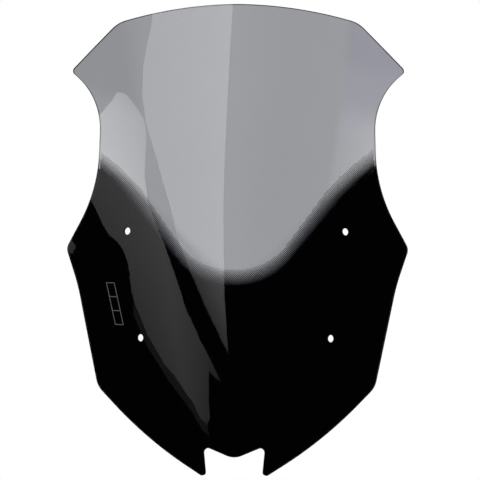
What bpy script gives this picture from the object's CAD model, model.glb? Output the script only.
import math

import bpy
import numpy as np
from mathutils import Matrix, Vector
from mathutils.geometry import delaunay_2d_cdt


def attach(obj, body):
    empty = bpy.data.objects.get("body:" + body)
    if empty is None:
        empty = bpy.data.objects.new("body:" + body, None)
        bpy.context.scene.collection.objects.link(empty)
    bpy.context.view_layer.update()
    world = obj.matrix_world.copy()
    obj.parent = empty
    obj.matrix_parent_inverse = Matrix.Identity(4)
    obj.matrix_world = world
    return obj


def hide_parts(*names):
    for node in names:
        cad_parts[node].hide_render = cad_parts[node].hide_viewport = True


# Looks of a smoked touring screen: a polished acrylic sheet, the black coat and the halftone fade on
# its rear face, and a small mark. Lengths are in millimetres until a vertex is written, in metres.
# X runs across the motorcycle, Z up the screen and +Y towards the rider, so the wind side faces -Y.

METRES_PER_MM = 0.001

# The formed shape of the front face, as the model has it.
FLANK_SLOPE = 0.85
NOSE_WIDTH = 145.0
NOSE_WIDENING = 0.40
LEAN = 0.15
LEAN_GAIN = 0.0002

# The sheet.
SHEET_THICKNESS = 3.0
FRONT_ROUND = 0.3
BACK_ROUND = 0.3
BORE_RADIUS = 4.0
BORE_ROUND = 0.35
BOLT_CENTRES = [(side * x, z) for x, z in ((119.0, 57.5), (103.0, -57.5)) for side in (-1, 1)]

# The coats on the rear face. Each one is sunk a little into the sheet, so that no air shows between.
COAT_SINK = 0.05
COAT_PROUD = 0.12
COAT_MARGIN = 0.35
COAT_BORE_RADIUS = 4.3

# Right half of the outline, from the top centre round to the nose: x, z and the corner's radius.
OUTLINE_CORNERS = [
    (57.5, 308.0, 560.0),  # crown
    (134.0, 290.5, 33.0),  # shoulder
    (188.3, 237.6, 5.0),  # upper ear
    (151.5, 204.8, 82.0),  # under the ear
    (153.6, 103.8, 163.0),  # waist
    (190.4, 38.5, 12.0),  # lower ear
    (176.0, -2.0, 220.0),  # below the lower ear
    (152.0, -112.6, 23.0),  # hip
    (97.2, -164.0, 430.0),  # along the lower edge
    (30.0, -202.6, 3.6),  # toe beside the notch
    (33.3, -168.1, 5.0),  # corner of the notch
    (0.0, -181.2, 21.0),  # middle of the notch
]

# Right half of the solid coat's upper edge, and of the fade above it.
MASK_CORNERS = [(0.0, 0.0), (38.9, 0.0, 75.0), (134.2, 114.0, 60.0), (200.0, 163.8)]
FADE_CORNERS = [(0.0, 16.9), (37.8, 16.9, 66.0), (113.2, 118.2, 200.0), (200.0, 183.5)]
PRINT_SHIFT = -2.6  # how far the prints' own centre line lies from the sheet's, along X

# The halftone: dots on a lattice turned by 45 degrees, which merge into a sheet with shrinking holes.
DOT_PITCH = 1.65
LEAST_COVER = 0.32
COVER_CURVE = 1.3
MERGE_COVER = 0.5
DOT_SIDES = 10
SMALLEST_HOLE = 0.12
LATTICE_REACH = 150
FADE_SINK = 0.04
FADE_PROUD = 0.11

# The plain slanted frame with two bars on the left flank.
MARK_CENTRE = (-132.0, -21.5)
MARK_WIDTH = 10.0
MARK_HEIGHT = 46.0
MARK_SLANT = -11.0
MARK_STROKE = 0.9
MARK_WINDOWS = 3
MARK_PROUD = 0.10
MARK_SINK = 0.03

# How finely the curved faces are divided.
GRID_PITCH = 4.0
LONGEST_EDGE = 3.0
ARC_STEP = math.radians(4.0)
ROUND_STEPS = 4
HOLE_SIDES = 48
SHARP_ANGLE = math.radians(30.0)
GRID_CLEARANCE = 0.45  # share of the pitch that the grid keeps from every loop
CROSSING_STEPS = 2000  # how finely a stretch is searched for where it crosses a line
CROSSING_CLEARANCE = 1.0  # a line's own points stay this far from where the outline crosses it
CENTRE_CLEARANCE = 0.3  # a point nearer the centre plane than this counts as lying on it
SLOPE_STEP = 0.1  # the inset over which the direction out of a rim is measured
TINY = 1e-6

# Linear colours and finishes.
TINT_PALE = (0.295, 0.300, 0.318)
TINT_DEEP = (0.285, 0.290, 0.308)
EDGE_PALE = (0.985, 0.985, 0.99)
EDGE_DEEP = (0.95, 0.955, 0.965)
ACRYLIC_IOR = 1.49
INK_IOR = 1.5
SHEEN_IN_AIR = 0.5
SHEEN_WHERE_BONDED = 0.0
INK_BLACK = (0.0010, 0.0010, 0.0011)
INK_HALFTONE = (0.0040, 0.0040, 0.0110)
INK_GREY = (0.060, 0.061, 0.063)

# Drifts and grains, in waves to the metre, and the heights of the two reliefs in metres.
TINT_DRIFT = 7.0
POLISH_DRIFT = 60.0
SHEET_WAVES = 22.0
SHEET_WAVE_HEIGHT = 0.00005
INK_DRIFT = 30.0
SHEEN_DRIFT = 120.0
MESH_GRAIN = 2600.0
MESH_GRAIN_HEIGHT = 0.00001
NOISE_LOW = 0.3
NOISE_HIGH = 0.7

# The camera.
CAMERA_TARGET = Vector((0.005, 0.0, 0.0481))
CAMERA_DISTANCE = 1.7
CAMERA_AZIMUTH = math.radians(1.30)
CAMERA_ROLL = math.radians(0.184)
CAMERA_LENS = 120.3

# The studio.
BACKDROP = (1.0, 1.0, 1.0)
UNLIT_STUDIO = (0.012, 0.012, 0.013)
CARD_GRID = 0.75
FLOOR_RADIUS = 1.2
FLOOR_HEIGHT = -0.45
FLOOR_SIDES = 96
FLOOR_COLOUR = (0.86, 0.86, 0.86)
FLOOR_ROUGHNESS = 0.9
REAR_SOFTNESS = 6.0
SKIRT_GLOW = 0.14
EAR_GLOW = 0.55
SIDE_GLOW = 1.4
BACK_GLOW = 0.9
VIOLET_GLOW = 0.65
VIOLET = (0.1, 0.0, 1.0)

# Above this line of elevations the clear sheet mirrors, and below it the solid print does. The line
# sinks towards the sides.
PRINT_HORIZON = 15.6
HORIZON_DROP = 1.6
HORIZON_SPAN = 60.0
HORIZON_SOFTNESS = 1.3

# The studio's panels, each by its distance in metres and its corners as (azimuth, elevation) in degrees.
MAIN_PANEL_DISTANCE = 30.0
MAIN_PANEL = [
    # the right side, from the top down
    (-3.0, 46), (-4.4, 38.8), (-6.3, 32.4), (-8.2, 26.6), (-9.5, 22.0), (-9.8, 16.5), (-9.8, 14.0),
    # the foot, and the slope up to the left
    (-7.2, 9.5), (-25.4, 12.1), (-33.8, 13.9), (-38.1, 15.4), (-39.5, 17.3), (-41.9, 18.9),
    # the left side
    (-43.5, 20.5), (-46.2, 22.7), (-46.5, 25.0), (-45.3, 27.8), (-40.9, 32.9), (-37, 46),
]
LOW_PANEL_DISTANCE = 31.0
LOW_PANEL = [
    # the rounded top
    (-46.6, 22.8), (-49.4, 23.3), (-52.2, 23.3), (-54.5, 22.6), (-56.9, 20.9), (-59.9, 18.9),
    # the left end
    (-63, 17), (-69, 13), (-69, 10.5), (-65.9, 9.4), (-65.1, 8.5), (-63.9, 7.8), (-62.2, 7.9),
    (-60.7, 7.7), (-60.2, 6.7), (-61.2, 4.4), (-61.0, 3.2), (-59.4, 1.5), (-55.3, 0.6),
    # the foot
    (-48.4, 0.8), (-43.6, 0.9), (-37.9, 0.6), (-32.2, 1.0), (-28.7, 2.1), (-28.0, 3.9),
    # the pointed right end, and back along the upper side
    (-25.4, 6.4), (-14.7, 6.7), (-31.5, 8.4), (-37.6, 9.3), (-41.0, 11.1), (-44.9, 13.1),
    (-46.4, 13.6), (-49.1, 15.2), (-49.1, 17.5), (-46.5, 21.5),
]
SKIRT_PANEL_DISTANCE = 32.0
SKIRT_PANEL = [
    # along the low panel's foot
    (-61.5, 3.4), (-59.6, 1.5), (-55.3, 0.6), (-48.4, 0.8), (-43.6, 0.9), (-37.9, 0.6), (-32.2, 1.0),
    # and back, a little lower
    (-31.5, 0.2), (-38, -0.5), (-44, -0.3), (-50, -0.5), (-56, -0.6), (-60.5, 0.2), (-62.5, 2.0),
]
EAR_PANEL_DISTANCE = 33.0
EAR_PANEL = [(-72.4, 4.3), (-72.0, 4.0), (-72.5, 3.4), (-73.2, 2.8), (-76, 2.4), (-76, 4.5), (-73.3, 4.9)]
FILL_PANEL_DISTANCE = 34.0
FILL_PANEL = [(-80, 13), (85, 13), (85, 50), (-80, 50)]
VIOLET_PANEL_DISTANCE = 35.0
VIOLET_PANEL = [(44, 15), (85, 15), (85, 50), (44, 50)]
REAR_PANEL_DISTANCE = 30.0
REAR_PANEL_LEFT = [(-100, -4), (-132, -4), (-132, 48), (-100, 48)]
REAR_PANEL_RIGHT = [(100, -4), (132, -4), (132, 48), (100, 48)]
BACK_PANEL = [(160, 2), (200, 2), (200, 44), (160, 44)]


# ---------------------------------------------------------------- the formed surface


def face_depth(x, z):
    """How far behind the origin the front face lies, along Y."""
    nose = NOSE_WIDTH + NOSE_WIDENING * z
    flank = FLANK_SLOPE * (np.hypot(nose, x) - nose)
    return flank + LEAN * z + LEAN_GAIN * z * z


def face_normals(points):
    """The unit normals of the front face over an array of (x, z) points, pointing into the wind."""
    x, z = points[:, 0], points[:, 1]
    nose = NOSE_WIDTH + NOSE_WIDENING * z
    reach = np.hypot(nose, x)
    across = FLANK_SLOPE * x / reach
    upwards = FLANK_SLOPE * NOSE_WIDENING * (nose / reach - 1) + LEAN + 2 * LEAN_GAIN * z
    return unit(np.stack([across, -np.ones_like(x), upwards], axis=1))


def unit(vectors):
    return vectors / np.linalg.norm(vectors, axis=1)[:, None]


def behind_face(points, depth):
    """The 3-D points that lie depth behind the front face, under an array of (x, z) points."""
    x, z = points[:, 0], points[:, 1]
    surface = np.stack([x, face_depth(x, z), z], axis=1)
    return surface - depth * face_normals(points)


def bore_ring(centre, radius):
    """The (x, z) of a circle that lies square to the face's normal, about a bolt centre."""
    normal = Vector(face_normals(np.array([centre]))[0])
    right = normal.cross(Vector((0, 0, -1))).normalized()
    up = normal.cross(right)
    angles = 2 * math.pi * np.arange(HOLE_SIDES) / HOLE_SIDES
    spokes = np.outer(np.cos(angles), right) + np.outer(np.sin(angles), up)
    return np.array(centre) + radius * spokes[:, [0, 2]]


# ---------------------------------------------------------------- outlines


def arc_points(before, corner, after, radius):
    """The points of the arc that rounds one corner."""
    corner = Vector(corner)
    back = (Vector(before) - corner).normalized()
    ahead = (Vector(after) - corner).normalized()
    half = back.angle(ahead) / 2
    centre = corner + (back + ahead).normalized() * radius / math.sin(half)
    start = corner + back * radius / math.tan(half) - centre
    turn = math.pi - 2 * half
    if back.x * ahead.y - back.y * ahead.x > 0:
        turn = -turn
    steps = max(2, math.ceil(abs(turn) / ARC_STEP), math.ceil(abs(turn) * radius / LONGEST_EDGE))
    points = []
    for step in range(steps + 1):
        angle = turn * step / steps
        x = start.x * math.cos(angle) - start.y * math.sin(angle)
        y = start.x * math.sin(angle) + start.y * math.cos(angle)
        points.append((centre.x + x, centre.y + y))
    return points


def divided(points):
    """The same open line, with no stretch longer than LONGEST_EDGE."""
    line = [points[0]]
    for start, end in zip(points, points[1:]):
        count = max(1, math.ceil(math.dist(start, end) / LONGEST_EDGE - TINY))
        for step in range(1, count + 1):
            share = step / count
            line.append((start[0] + share * (end[0] - start[0]), start[1] + share * (end[1] - start[1])))
    return line


def rounded(corners):
    """An open line through the corners, with each inner one rounded to its radius."""
    points = [corners[0][:2]]
    for before, corner, after in zip(corners, corners[1:], corners[2:]):
        points += arc_points(before[:2], corner[:2], after[:2], corner[2])
    points.append(corners[-1][:2])
    return divided(points)


def mirrored(line):
    """A line from the centre plane outwards, with its mirror image before it."""
    return [(-x, z) for x, z in reversed(line[1:])] + line


def sheet_outline():
    """The whole outline as a closed loop, clockwise from the top centre."""
    crown, shoulder = OUTLINE_CORNERS[:2]
    side, middle = OUTLINE_CORNERS[-2:]
    before = (-crown[0], crown[1])
    after = (-side[0], side[1])
    line = rounded([before, *OUTLINE_CORNERS, after])
    right = [(x, z) for x, z in line if x > CENTRE_CLEARANCE]
    top = max(z for _, z in rounded([before, crown, shoulder]))
    fall = math.atan2(side[1] - middle[1], side[0] - middle[0])
    bottom = middle[1] + middle[2] * (1 / math.cos(fall) - 1)
    left = [(-x, z) for x, z in reversed(right)]
    return np.array([(0.0, top), *right, (0.0, bottom), *left])


def inset(loop, distance):
    """A clockwise closed loop moved inwards."""
    along = unit(np.roll(loop, -1, axis=0) - np.roll(loop, 1, axis=0))
    return loop + distance * np.stack([along[:, 1], -along[:, 0]], axis=1)


def inside(points, loop):
    """For each point, whether it lies within the closed loop."""
    x, z = points[:, 0][:, None], points[:, 1][:, None]
    ax, az = loop[:, 0][None, :], loop[:, 1][None, :]
    bx, bz = np.roll(ax, -1, axis=1), np.roll(az, -1, axis=1)
    spans = (az > z) != (bz > z)
    rise = np.where(bz == az, 1.0, bz - az)
    crossings = spans & (x < ax + (z - az) * (bx - ax) / rise)
    return crossings.sum(axis=1) % 2 == 1


def distance_to(points, loop):
    """The distance from each point to the nearest side of the closed loop."""
    start = loop[None, :, :]
    side = np.roll(loop, -1, axis=0)[None, :, :] - start
    offset = points[:, None, :] - start
    share = np.clip((offset * side).sum(2) / np.maximum((side * side).sum(2), TINY * TINY), 0, 1)
    return np.linalg.norm(offset - share[:, :, None] * side, axis=2).min(axis=1)


def height_on(line, x):
    """The z of an open line, drawn from left to right, at x."""
    corners = np.array(line)
    return np.interp(x, corners[:, 0], corners[:, 1])


def cut_below(loop, line):
    """The part of a clockwise closed loop that lies below an open line which crosses it twice."""
    above = loop[:, 1] > height_on(line, loop[:, 0])
    first = int(np.flatnonzero(above & ~np.roll(above, -1))[0])
    loop = np.roll(loop, -first, axis=0)
    above = np.roll(above, -first)
    last = int(np.flatnonzero(~above)[-1])
    right = meeting(loop[0], loop[1], line)
    left = meeting(loop[last], loop[(last + 1) % len(loop)], line)
    first_x, last_x = left[0] + CROSSING_CLEARANCE, right[0] - CROSSING_CLEARANCE
    between = [point for point in line if first_x < point[0] < last_x]
    return np.array([right, *loop[1 : last + 1], left, *between])


def meeting(start, end, line):
    """Where the stretch from start to end crosses the open line."""
    shares = np.linspace(0, 1, CROSSING_STEPS + 1)
    points = start + shares[:, None] * (end - start)
    gaps = np.abs(points[:, 1] - height_on(line, points[:, 0]))
    return points[int(np.argmin(gaps))]


# ---------------------------------------------------------------- meshes


def grid_inside(outline, holes, pitch):
    """A staggered grid of points within the outline, clear of it and of the holes."""
    low, high = outline.min(axis=0), outline.max(axis=0)
    rise = pitch * math.sqrt(3) / 2
    rows = np.arange(math.floor(low[1] / rise), math.ceil(high[1] / rise) + 1)
    columns = np.arange(math.floor(low[0] / pitch) - 1, math.ceil(high[0] / pitch) + 1)
    column, row = np.meshgrid(columns, rows)
    points = np.stack([(column + 0.5 * (row % 2)) * pitch, row * rise], axis=2).reshape(-1, 2)
    points = points[inside(points, outline)]
    for loop in [outline, *holes]:
        points = points[distance_to(points, loop) > GRID_CLEARANCE * pitch]
    for hole in holes:
        points = points[~inside(points, hole)]
    return points


def triangulate(outline, holes, pitch):
    """A region's points, its triangles, and the indices of each loop's points."""
    loops = [outline, *holes]
    grid = grid_inside(outline, holes, pitch)
    edges, spans, first = [], [], 0
    for loop in loops:
        spans.append(range(first, first + len(loop)))
        edges += [(first + step, first + (step + 1) % len(loop)) for step in range(len(loop))]
        first += len(loop)
    points = [Vector(point) for point in np.concatenate([*loops, grid])]
    found = delaunay_2d_cdt(points, edges, [], 0, TINY)
    index_of = {source: index for index, group in enumerate(found[3]) for source in group}
    flat = np.array([tuple(point) for point in found[0]])
    triangles = np.array([tuple(triangle) for triangle in found[2]])
    centres = flat[triangles].mean(axis=1)
    kept = inside(centres, outline)
    for hole in holes:
        kept &= ~inside(centres, hole)
    rims = [np.array([index_of[index] for index in span]) for span in spans]
    return flat, triangles[kept], rims


def facing(flat, triangles):
    """The triangles with their corners in the order that makes them face the wind."""
    a, b, c = (flat[triangles[:, corner]] for corner in range(3))
    turn = (b[:, 0] - a[:, 0]) * (c[:, 1] - a[:, 1]) - (b[:, 1] - a[:, 1]) * (c[:, 0] - a[:, 0])
    return np.where((turn > 0)[:, None], triangles, triangles[:, ::-1])


def mesh_object(name, vertices, faces, materials):
    """A piece from vertices in millimetres."""
    mesh = bpy.data.meshes.new(name)
    mesh.from_pydata((np.asarray(vertices) * METRES_PER_MM).tolist(), [], faces)
    for material in materials:
        mesh.materials.append(material)
    mesh.update()
    mesh.shade_smooth()
    piece = bpy.data.objects.new(name, mesh)
    bpy.context.scene.collection.objects.link(piece)
    return piece


def slab_faces(front, walls, count):
    """Faces of a closed slab whose back vertices follow its front ones, count places later."""
    back = [tuple(corner + count for corner in reversed(face)) for face in front]
    sides = [(start, start + count, end + count, end) for start, end in walls]
    return front + back + sides


def open_edges(faces):
    """The directed edges that only one face has."""
    directed = {(a, b) for face in faces for a, b in zip(face, face[1:] + face[:1])}
    return sorted((a, b) for a, b in directed if (b, a) not in directed)


def layer(name, flat, front, depths, materials):
    """A thin closed layer that follows the sheet, between two depths behind the front face.

    The first material is for the side that faces the wind and the last one for all the rest.
    """
    near, far = depths
    vertices = np.concatenate([behind_face(flat, near), behind_face(flat, far)])
    faces = slab_faces(front, open_edges(front), len(flat))
    piece = mesh_object(name, vertices, faces, materials)
    slots = np.full(len(faces), len(materials) - 1, np.int32)
    slots[: len(front)] = 0
    piece.data.polygons.foreach_set("material_index", slots)
    piece.data.set_sharp_from_angle(angle=SHARP_ANGLE)
    return piece


def thin_coat(name, region, depths, materials):
    """A layer over a triangulated region."""
    flat, triangles, _ = region
    front = [tuple(map(int, triangle)) for triangle in facing(flat, triangles)]
    return layer(name, flat, front, depths, materials)


# ---------------------------------------------------------------- the sheet


def rim_profile(front_round, back_round):
    """The rounded edge from front to back, as (inset, depth, turn of the normal) stations."""
    stations = []
    for step in range(ROUND_STEPS + 1):
        turn = math.pi / 2 * step / ROUND_STEPS
        stations.append((front_round * (1 - math.sin(turn)), front_round * (1 - math.cos(turn)), turn))
    for step in range(ROUND_STEPS + 1):
        turn = math.pi / 2 * (1 + step / ROUND_STEPS)
        depth = SHEET_THICKNESS - back_round * (1 + math.cos(turn))
        stations.append((back_round * (1 - math.sin(turn)), depth, turn))
    return stations


class SheetMesh:
    """Gathers the vertices, the true normals and the faces of the acrylic sheet."""

    def __init__(self):
        self.vertices = []
        self.normals = []
        self.faces = []
        self.edge_faces = 0
        self.count = 0

    def add(self, points, normals):
        """Adds vertices and returns their indices."""
        first = self.count
        self.vertices.append(points)
        self.normals.append(normals)
        self.count += len(points)
        return np.arange(first, self.count)

    def add_rim(self, loop_at, profile, front_rim, back_rim):
        """Joins the front face's rim to the back face's along the profile.

        loop_at gives the loop at an inset.
        """
        outward = rim_directions(loop_at)
        rings = [front_rim]
        for distance, depth, turn in profile[1:-1]:
            loop = loop_at(distance)
            normals = math.cos(turn) * face_normals(loop) + math.sin(turn) * outward
            rings.append(self.add(behind_face(loop, depth), unit(normals)))
        rings.append(back_rim)
        for upper, lower in zip(rings, rings[1:]):
            for index in range(len(upper)):
                after = (index + 1) % len(upper)
                face = (upper[index], lower[index], lower[after], upper[after])
                self.faces.append(tuple(map(int, face)))
                self.edge_faces += 1


def rim_directions(loop_at):
    """For each point of a rim, the direction out of the sheet and along its surface."""
    away = loop_at(0.0) - loop_at(SLOPE_STEP)
    x, z = loop_at(0.0).T
    slope = face_depth(x + away[:, 0], z + away[:, 1]) - face_depth(x, z)
    return unit(np.stack([away[:, 0], slope, away[:, 1]], axis=1))


def make_sheet(outline, acrylic, edge):
    """The smoked sheet, with its rounded edge and four bores."""
    outer = rim_profile(FRONT_ROUND, BACK_ROUND)
    bore = rim_profile(BORE_ROUND, BORE_ROUND)
    loops_at = [lambda distance: inset(outline, distance)]
    for centre in BOLT_CENTRES:
        loops_at.append(lambda distance, centre=centre: bore_ring(centre, BORE_RADIUS + distance))
    profiles = [outer] + [bore] * len(BOLT_CENTRES)
    front_loops = [loop_at(profile[0][0]) for loop_at, profile in zip(loops_at, profiles)]
    flat, triangles, rims = triangulate(front_loops[0], front_loops[1:], GRID_PITCH)
    triangles = facing(flat, triangles)
    back_flat = flat.copy()
    for loop_at, profile, rim in zip(loops_at, profiles, rims):
        back_flat[rim] = loop_at(profile[-1][0])
    sheet = SheetMesh()
    front = sheet.add(behind_face(flat, 0.0), face_normals(flat))
    back = sheet.add(behind_face(back_flat, SHEET_THICKNESS), -face_normals(back_flat))
    sheet.faces += [tuple(map(int, front[triangle])) for triangle in triangles]
    sheet.faces += [tuple(map(int, back[triangle[::-1]])) for triangle in triangles]
    for loop_at, profile, rim in zip(loops_at, profiles, rims):
        sheet.add_rim(loop_at, profile, front[rim], back[rim])
    piece = mesh_object("acrylic_sheet", np.concatenate(sheet.vertices), sheet.faces, [acrylic, edge])
    finish_edge(piece, sheet)
    return piece


def finish_edge(piece, sheet):
    """Gives the edge its own finish and sets the true normals."""
    mesh = piece.data
    slots = np.zeros(len(sheet.faces), np.int32)
    slots[len(sheet.faces) - sheet.edge_faces :] = 1
    mesh.polygons.foreach_set("material_index", slots)
    normals = np.concatenate(sheet.normals)
    mesh.normals_split_custom_set_from_vertices(normals.tolist())


# ---------------------------------------------------------------- the prints


def coat_depths(sink, proud):
    """The two depths of a coat on the rear face, from how far it is sunk and how far it stands proud."""
    return (SHEET_THICKNESS - sink, SHEET_THICKNESS + proud)


def print_edge(corners):
    """An edge of the prints, right across the sheet."""
    return [(x + PRINT_SHIFT, z) for x, z in mirrored(rounded(corners))]


def make_mask_coat(outline, inks):
    """The solid black coat on the lower half of the rear face."""
    edge = print_edge(MASK_CORNERS)
    loop = cut_below(inset(outline, COAT_MARGIN), edge)
    holes = [bore_ring(centre, COAT_BORE_RADIUS) for centre in BOLT_CENTRES]
    region = triangulate(loop, holes, GRID_PITCH)
    return thin_coat("mask_coat", region, coat_depths(COAT_SINK, COAT_PROUD), inks)


class Halftone:
    """Dots and pierced cells on a lattice turned by 45 degrees.

    A cell is a square that stands on its corner. Cell (i, j) has its corners at half steps. Where the
    cover is high the cell is ink apart from a round hole at each corner, and where it is low the cell
    holds one dot.
    """

    def __init__(self, outline):
        self.outline = outline
        self.low_edge = print_edge(MASK_CORNERS)
        self.high_edge = print_edge(FADE_CORNERS)
        self.half = DOT_PITCH / math.sqrt(2)
        self.points = []
        self.index_of = {}
        self.caps = []

    def place(self, i, j):
        """The (x, z) of a lattice position."""
        return ((i - j) * self.half, (i + j) * self.half)

    def cover(self, i, j):
        """The share of the area that is ink at a lattice position: 1 at the solid coat."""
        x, z = self.place(i, j)
        low, high = height_on(self.low_edge, x), height_on(self.high_edge, x)
        share = min(max((z - low) / (high - low), 0.0), 1.0)
        return 1 - (1 - LEAST_COVER) * share**COVER_CURVE

    def hole_radius(self, i, j):
        """The radius of the hole about a cell corner."""
        radius = DOT_PITCH * math.sqrt((1 - self.cover(i, j)) / math.pi)
        return radius if radius > SMALLEST_HOLE else 0.0

    def cells(self):
        """The lattice cells that lie in the fade, as (i, j) pairs."""
        reach = np.arange(-LATTICE_REACH, LATTICE_REACH + 1)
        i, j = (grid.ravel() for grid in np.meshgrid(reach, reach))
        x, z = (i - j) * self.half, (i + j) * self.half
        low, high = height_on(self.low_edge, x), height_on(self.high_edge, x)
        within = (z > low - self.half) & (z < high)
        i, j, x, z = i[within], j[within], x[within], z[within]
        margin = inset(self.outline, COAT_MARGIN + self.half)
        kept = inside(np.stack([x, z], axis=1), margin)
        return list(zip(i[kept].tolist(), j[kept].tolist()))

    def vertex(self, key, x, z):
        """The index of a shared vertex, made on its first use."""
        if key not in self.index_of:
            self.index_of[key] = len(self.points)
            self.points.append((x, z))
        return self.index_of[key]

    def add_dot(self, i, j):
        """One round dot, as a closed cap of its own."""
        x, z = self.place(i, j)
        radius = DOT_PITCH * math.sqrt(self.cover(i, j) / math.pi)
        cap = []
        for side in range(DOT_SIDES):
            angle = 2 * math.pi * side / DOT_SIDES
            key = ("dot", i, j, side)
            cap.append(self.vertex(key, x + radius * math.cos(angle), z + radius * math.sin(angle)))
        self.caps.append(tuple(cap))

    def add_pierced(self, i, j):
        """One cell of ink with a quarter of a hole at each corner."""
        ring = []
        for across, up in ((-1, -1), (1, -1), (1, 1), (-1, 1)):
            ring += self.corner(i, j, across, up)
        middle = self.vertex(("middle", i, j), *self.place(i, j))
        for start, end in zip(ring, ring[1:] + ring[:1]):
            if start != end:
                self.caps.append((middle, start, end))

    def corner(self, i, j, across, up):
        """The vertices with which a cell rounds one of its corners, anticlockwise."""
        ci, cj = i + across / 2, j + up / 2
        radius = self.hole_radius(ci, cj)
        x, z = self.place(ci, cj)
        if not radius:
            return [self.vertex(("corner", ci, cj), x, z)]
        steps = radius / DOT_PITCH
        along_i = ("side", ci, cj, -across, 0)
        along_j = ("side", ci, cj, 0, -up)
        on_i = self.vertex(along_i, *self.place(ci - across * steps, cj))
        on_j = self.vertex(along_j, *self.place(ci, cj - up * steps))
        bend = steps / math.sqrt(2)
        mid = self.vertex(("bend", ci, cj, i, j), *self.place(ci - across * bend, cj - up * bend))
        return [on_j, mid, on_i] if across == up else [on_i, mid, on_j]


def make_fade_coat(outline, inks):
    """The halftone fade above the solid coat."""
    halftone = Halftone(outline)
    for i, j in halftone.cells():
        if halftone.cover(i, j) < MERGE_COVER:
            halftone.add_dot(i, j)
        else:
            halftone.add_pierced(i, j)
    flat = np.array(halftone.points)
    return layer("fade_coat", flat, halftone.caps, coat_depths(FADE_SINK, FADE_PROUD), inks)


def slanted_loop(width, low, high):
    """A leaning four-sided loop of the mark, clockwise."""
    x, z = MARK_CENTRE
    lean = MARK_SLANT / MARK_HEIGHT
    corners = [(-width / 2, high), (width / 2, high), (width / 2, low), (-width / 2, low)]
    loop = [(x + across + lean * up, z + up) for across, up in corners]
    return np.array(divided([*loop, loop[0]])[:-1])


def make_mark(ink):
    """The plain mark on the left flank."""
    half = MARK_HEIGHT / 2
    inner = MARK_WIDTH - 2 * MARK_STROKE
    outer = slanted_loop(MARK_WIDTH, -half, half)
    pitch = (MARK_HEIGHT - MARK_STROKE) / MARK_WINDOWS
    lows = [-half + window * pitch for window in range(MARK_WINDOWS)]
    windows = [slanted_loop(inner, low + MARK_STROKE, low + pitch) for low in lows]
    region = triangulate(outer, windows, GRID_PITCH)
    return thin_coat("flank_mark", region, (-MARK_PROUD, MARK_SINK), [ink])


# ---------------------------------------------------------------- materials


def blank_material(name):
    """A material with a Principled shader, its node tree and that shader."""
    material = bpy.data.materials.new(name)
    material.use_nodes = True
    tree = material.node_tree
    return material, tree, tree.nodes["Principled BSDF"]


def noise(tree, scale, detail=2.0):
    """Noise through the piece, with scale in waves to the metre."""
    where = tree.nodes.new("ShaderNodeTexCoord")
    texture = tree.nodes.new("ShaderNodeTexNoise")
    texture.inputs["Scale"].default_value = scale
    texture.inputs["Detail"].default_value = detail
    tree.links.new(where.outputs["Object"], texture.inputs["Vector"])
    return texture.outputs["Fac"]


def spread(tree, value, low, high):
    """The middle of a noise's range, mapped to the range from low to high."""
    mapped = tree.nodes.new("ShaderNodeMapRange")
    mapped.inputs["From Min"].default_value = NOISE_LOW
    mapped.inputs["From Max"].default_value = NOISE_HIGH
    mapped.inputs["To Min"].default_value = low
    mapped.inputs["To Max"].default_value = high
    tree.links.new(value, mapped.inputs["Value"])
    return mapped.outputs["Result"]


def between(tree, value, first, second):
    """A colour that runs from first to second with a value."""
    mix = tree.nodes.new("ShaderNodeMix")
    mix.data_type = "RGBA"
    mix.inputs["A"].default_value = (*first, 1.0)
    mix.inputs["B"].default_value = (*second, 1.0)
    tree.links.new(value, mix.inputs["Factor"])
    return mix.outputs["Result"]


def bump(tree, shader, height, distance):
    """Gives the shader a relief of that height, in metres."""
    relief = tree.nodes.new("ShaderNodeBump")
    relief.inputs["Strength"].default_value = 1.0
    relief.inputs["Distance"].default_value = distance
    tree.links.new(height, relief.inputs["Height"])
    tree.links.new(relief.outputs["Normal"], shader.inputs["Normal"])


def acrylic_material(name, tints, smoothest, roughest):
    """Smoked acrylic whose depth of tint and polish drift a little over the sheet."""
    material, tree, shader = blank_material(name)
    shader.inputs["Transmission Weight"].default_value = 1.0
    shader.inputs["IOR"].default_value = ACRYLIC_IOR
    tint = between(tree, spread(tree, noise(tree, TINT_DRIFT), 0.0, 1.0), *tints)
    tree.links.new(tint, shader.inputs["Base Color"])
    polish = spread(tree, noise(tree, POLISH_DRIFT), smoothest, roughest)
    tree.links.new(polish, shader.inputs["Roughness"])
    bump(tree, shader, noise(tree, SHEET_WAVES), SHEET_WAVE_HEIGHT)
    return material


def ink_material(name, colour, lift, smoothest, roughest, mirror=SHEEN_IN_AIR):
    """Screen-printing ink: nearly even colour, satin, with the fine grain of the mesh it came through."""
    material, tree, shader = blank_material(name)
    shader.inputs["Specular IOR Level"].default_value = mirror
    shader.inputs["IOR"].default_value = INK_IOR
    deeper = tuple(channel * lift for channel in colour)
    tone = between(tree, spread(tree, noise(tree, INK_DRIFT), 0.0, 1.0), colour, deeper)
    tree.links.new(tone, shader.inputs["Base Color"])
    sheen = spread(tree, noise(tree, SHEEN_DRIFT), smoothest, roughest)
    tree.links.new(sheen, shader.inputs["Roughness"])
    bump(tree, shader, noise(tree, MESH_GRAIN, detail=1.0), MESH_GRAIN_HEIGHT)
    return material


# ---------------------------------------------------------------- the studio


def direction(azimuth, elevation):
    """The unit direction at an azimuth from -Y towards +X and an elevation, both arrays in degrees."""
    a, e = np.radians(azimuth), np.radians(elevation)
    return np.stack([np.sin(a) * np.cos(e), -np.cos(a) * np.cos(e), np.sin(e)], axis=-1)


def ease(value, low, high):
    """0 below low, 1 above high and smooth between them."""
    share = np.clip((value - low) / (high - low), 0, 1)
    return share * share * (3 - 2 * share)


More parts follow.
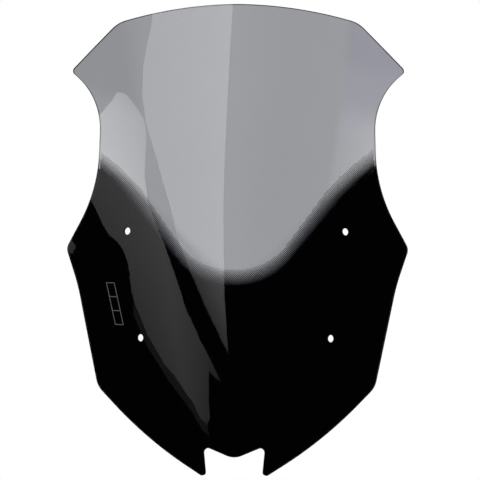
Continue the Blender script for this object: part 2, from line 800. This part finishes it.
def make_card(name, distance, corners, brightness, softness=0.0, colour=(1.0, 1.0, 1.0)):
    """A glowing studio panel, given by its corners as (azimuth, elevation) in degrees from the origin.

    brightness gives the glow at each azimuth and elevation, and softness is the width in degrees over
    which it fades in from the border. Only reflections show a panel. Panels add up where they overlap,
    so each one has its own distance.
    """
    outline = np.array(corners, float)
    border = np.array(closed_and_divided(outline, CARD_GRID))
    flat, triangles, _ = triangulate(border, [], CARD_GRID)
    glow = brightness(flat[:, 0], flat[:, 1])
    if softness:
        glow = glow * ease(distance_to(flat, outline), 0.0, softness)
    mesh = bpy.data.meshes.new(name)
    vertices = direction(flat[:, 0], flat[:, 1]) * distance
    mesh.from_pydata(vertices.tolist(), [], [tuple(map(int, triangle)) for triangle in triangles])
    mesh.attributes.new("glow", "FLOAT", "POINT").data.foreach_set("value", glow.astype(np.float32))
    mesh.materials.append(glow_material(name, colour))
    card = bpy.data.objects.new(name, mesh)
    bpy.context.scene.collection.objects.link(card)
    card.visible_camera = False
    card.visible_transmission = False
    card.visible_diffuse = False
    card.visible_shadow = False


def closed_and_divided(outline, longest):
    """A closed loop whose sides are divided into stretches no longer than longest."""
    points = []
    for start, end in zip(outline, np.roll(outline, -1, axis=0)):
        count = max(1, math.ceil(math.dist(start, end) / longest))
        points += [start + (end - start) * step / count for step in range(count)]
    return points


def glow_material(name, colour):
    """Light whose strength comes from the card's own glow, and which hides nothing behind it."""
    material = bpy.data.materials.new(name)
    material.use_nodes = True
    material.cycles.emission_sampling = "NONE"
    tree = material.node_tree
    tree.nodes.clear()
    glow = tree.nodes.new("ShaderNodeAttribute")
    glow.attribute_name = "glow"
    lamp = tree.nodes.new("ShaderNodeEmission")
    lamp.inputs["Color"].default_value = (*colour, 1.0)
    clear = tree.nodes.new("ShaderNodeBsdfTransparent")
    both = tree.nodes.new("ShaderNodeAddShader")
    output = tree.nodes.new("ShaderNodeOutputMaterial")
    tree.links.new(glow.outputs["Fac"], lamp.inputs["Strength"])
    tree.links.new(lamp.outputs["Emission"], both.inputs[0])
    tree.links.new(clear.outputs["BSDF"], both.inputs[1])
    tree.links.new(both.outputs["Shader"], output.inputs["Surface"])
    return material


def compared(tree, value, operation, bound):
    """1 where a value lies on the asked side of a bound, else 0."""
    test = tree.nodes.new("ShaderNodeMath")
    test.operation = operation
    test.inputs[1].default_value = bound
    tree.links.new(value, test.inputs[0])
    return test.outputs["Value"]


def make_world():
    """White wherever it is seen directly or through the sheet, and dark in reflections.

    Light that has passed through two faces sees white even where it was turned back inside the sheet.
    """
    world = bpy.data.worlds.new("studio")
    world.use_nodes = True
    world.cycles.sampling_method = "NONE"
    tree = world.node_tree
    path = tree.nodes.new("ShaderNodeLightPath")
    off_a_face = compared(tree, path.outputs["Glossy Depth"], "GREATER_THAN", 0.5)
    not_through = compared(tree, path.outputs["Transmission Depth"], "LESS_THAN", 1.5)
    mirrored_ray = tree.nodes.new("ShaderNodeMath")
    mirrored_ray.operation = "MULTIPLY"
    tree.links.new(off_a_face, mirrored_ray.inputs[0])
    tree.links.new(not_through, mirrored_ray.inputs[1])
    colour = between(tree, mirrored_ray.outputs["Value"], BACKDROP, UNLIT_STUDIO)
    tree.links.new(colour, tree.nodes["Background"].inputs["Color"])
    bpy.context.scene.world = world


def make_floor():
    """A pale round floor under the screen."""
    material, tree, shader = blank_material("floor")
    shader.inputs["Base Color"].default_value = (*FLOOR_COLOUR, 1.0)
    shader.inputs["Roughness"].default_value = FLOOR_ROUGHNESS
    mesh = bpy.data.meshes.new("floor")
    angles = 2 * math.pi * np.arange(FLOOR_SIDES) / FLOOR_SIDES
    rim = [(FLOOR_RADIUS * math.cos(a), FLOOR_RADIUS * math.sin(a), FLOOR_HEIGHT) for a in angles]
    mesh.from_pydata(rim, [], [tuple(range(len(rim)))])
    mesh.materials.append(material)
    floor = bpy.data.objects.new("floor", mesh)
    bpy.context.scene.collection.objects.link(floor)


def make_lamp(name, azimuth, elevation, distance, size, power):
    """A soft square lamp that faces the origin."""
    light = bpy.data.lights.new(name, "AREA")
    light.shape = "SQUARE"
    light.size = size
    light.energy = power
    lamp = bpy.data.objects.new(name, light)
    towards = Vector(direction(azimuth, elevation))
    lamp.location = towards * distance
    lamp.rotation_mode = "QUATERNION"
    lamp.rotation_quaternion = towards.to_track_quat("Z", "Y")
    bpy.context.scene.collection.objects.link(lamp)


def lifted(azimuth, elevation):
    """0 in the directions that the solid print mirrors and 1 in those that the clear sheet does."""
    start = PRINT_HORIZON - HORIZON_DROP * (azimuth / HORIZON_SPAN) ** 4
    return ease(elevation - start, 0.0, HORIZON_SOFTNESS)


def tilted(azimuth, elevation, level, at, across, upwards):
    """A brightness that is level in the direction at, and changes evenly by so much per degree."""
    return level + across * (azimuth - at[0]) + upwards * (elevation - at[1])


def main_glow(azimuth, elevation):
    """The tall panel: brightest towards its right side, and dim at its foot."""
    foot = tilted(azimuth, elevation, 0.62, (-15, 11), across=0.018, upwards=0.16)
    top = tilted(azimuth, elevation, 2.55, (-22, 0), across=0.012, upwards=0.0)
    return foot + (top - foot) * lifted(azimuth, elevation)


def low_glow(azimuth, elevation):
    """The low wide panel: brightest on its left side, and dim along its foot."""
    past_middle = np.maximum(azimuth + 46, 0.0)
    foot = tilted(azimuth, elevation, 0.66, (-56, 3), across=0.012, upwards=0.03) - 0.032 * past_middle
    top = tilted(azimuth, elevation, 2.5, (-48, 20), across=-0.11, upwards=-0.12)
    return foot + (top - foot) * lifted(azimuth, elevation)


def fill_glow(azimuth, elevation):
    """The bright room about the panels: none in the upper left, and most low down on the right."""
    middle = np.interp(azimuth, [-44, -2, 12, 25, 44], [0.85, 1.35, 1.08, 0.96, 1.08])
    left_bound = 22.5 + 0.25 * (azimuth + 52)
    left = np.maximum(ease(azimuth, -53, -44), ease(left_bound - elevation, -1.0, 1.0))
    right_bound = 23.5 - 0.43 * (azimuth - 50)
    low = (0.85 + 0.165 * (azimuth - 48)) * ease(right_bound - elevation, 0.0, 3.0)
    high = 0.6 * ease(elevation - right_bound, 1.0, 3.5)
    right = ease(azimuth, 45, 48) * (low - high)
    return (middle * left + right) * lifted(azimuth, elevation)


def violet_glow(azimuth, elevation):
    """A touch of violet at the upper right."""
    return VIOLET_GLOW * ease(azimuth, 46, 50) * ease(elevation, 17.5, 21.5)


def even_glow(level):
    """The same glow all over a panel."""
    return lambda azimuth, elevation: level * np.ones_like(azimuth)


def make_cards():
    """The panels that the glossy sheet mirrors."""
    make_card("main_panel", MAIN_PANEL_DISTANCE, MAIN_PANEL, main_glow)
    make_card("low_panel", LOW_PANEL_DISTANCE, LOW_PANEL, low_glow)
    make_card("skirt_panel", SKIRT_PANEL_DISTANCE, SKIRT_PANEL, even_glow(SKIRT_GLOW))
    make_card("ear_panel", EAR_PANEL_DISTANCE, EAR_PANEL, even_glow(EAR_GLOW))
    make_card("fill_panel", FILL_PANEL_DISTANCE, FILL_PANEL, fill_glow)
    make_card("violet_panel", VIOLET_PANEL_DISTANCE, VIOLET_PANEL, violet_glow, colour=VIOLET)
    rear_panels = [
        ("rear_panel_left", REAR_PANEL_LEFT, SIDE_GLOW),
        ("rear_panel_right", REAR_PANEL_RIGHT, SIDE_GLOW),
        ("back_panel", BACK_PANEL, BACK_GLOW),
    ]
    for name, corners, level in rear_panels:
        make_card(name, REAR_PANEL_DISTANCE, corners, even_glow(level), softness=REAR_SOFTNESS)


def make_camera():
    """The camera, nearly square to the screen and at the height of its middle."""
    out = Vector((math.sin(CAMERA_AZIMUTH), -math.cos(CAMERA_AZIMUTH), 0.0))
    level = Vector((math.cos(CAMERA_AZIMUTH), math.sin(CAMERA_AZIMUTH), 0.0))
    upright = Vector((0.0, 0.0, 1.0))
    right = math.cos(CAMERA_ROLL) * level + math.sin(CAMERA_ROLL) * upright
    up = math.cos(CAMERA_ROLL) * upright - math.sin(CAMERA_ROLL) * level
    data = bpy.data.cameras.new("camera")
    data.lens = CAMERA_LENS
    camera = bpy.data.objects.new("camera", data)
    turn = Matrix((right, up, out)).transposed().to_4x4()
    camera.matrix_world = Matrix.Translation(CAMERA_TARGET + CAMERA_DISTANCE * out) @ turn
    bpy.context.scene.collection.objects.link(camera)
    bpy.context.scene.camera = camera


# ---------------------------------------------------------------- everything together


def fit(piece, node):
    """Stands a piece in for its CAD node."""
    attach(piece, "root")
    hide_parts(node)


def make_object():
    outline = sheet_outline()
    acrylic = acrylic_material("smoked_acrylic", (TINT_PALE, TINT_DEEP), 0.012, 0.030)
    edge = acrylic_material("acrylic_edge", (EDGE_PALE, EDGE_DEEP), 0.08, 0.16)
    black = [
        ink_material("bonded_black_ink", INK_BLACK, 1.3, 0.30, 0.42, SHEEN_WHERE_BONDED),
        ink_material("black_ink", INK_BLACK, 1.3, 0.30, 0.42),
    ]
    halftone = [
        ink_material("bonded_halftone_ink", INK_HALFTONE, 1.3, 0.34, 0.46, SHEEN_WHERE_BONDED),
        ink_material("halftone_ink", INK_HALFTONE, 1.3, 0.34, 0.46),
    ]
    grey = ink_material("grey_ink", INK_GREY, 1.2, 0.40, 0.55)
    fit(make_sheet(outline, acrylic, edge), "screen_pane")
    fit(make_mask_coat(outline, black), "mask_print")
    fit(make_fade_coat(outline, halftone), "fade_print")
    fit(make_mark(grey), "side_mark")


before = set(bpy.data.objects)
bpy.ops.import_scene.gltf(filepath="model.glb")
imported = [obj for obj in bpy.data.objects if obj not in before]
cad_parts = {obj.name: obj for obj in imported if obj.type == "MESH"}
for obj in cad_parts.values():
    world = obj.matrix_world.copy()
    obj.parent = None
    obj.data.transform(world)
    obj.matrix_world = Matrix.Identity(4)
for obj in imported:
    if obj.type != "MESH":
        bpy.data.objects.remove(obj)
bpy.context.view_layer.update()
make_camera()
make_world()
make_cards()
make_floor()
make_lamp("overhead", azimuth=20.0, elevation=78.0, distance=2.6, size=1.6, power=30.0)
make_object()
bpy.context.scene.view_settings.view_transform = "Standard"
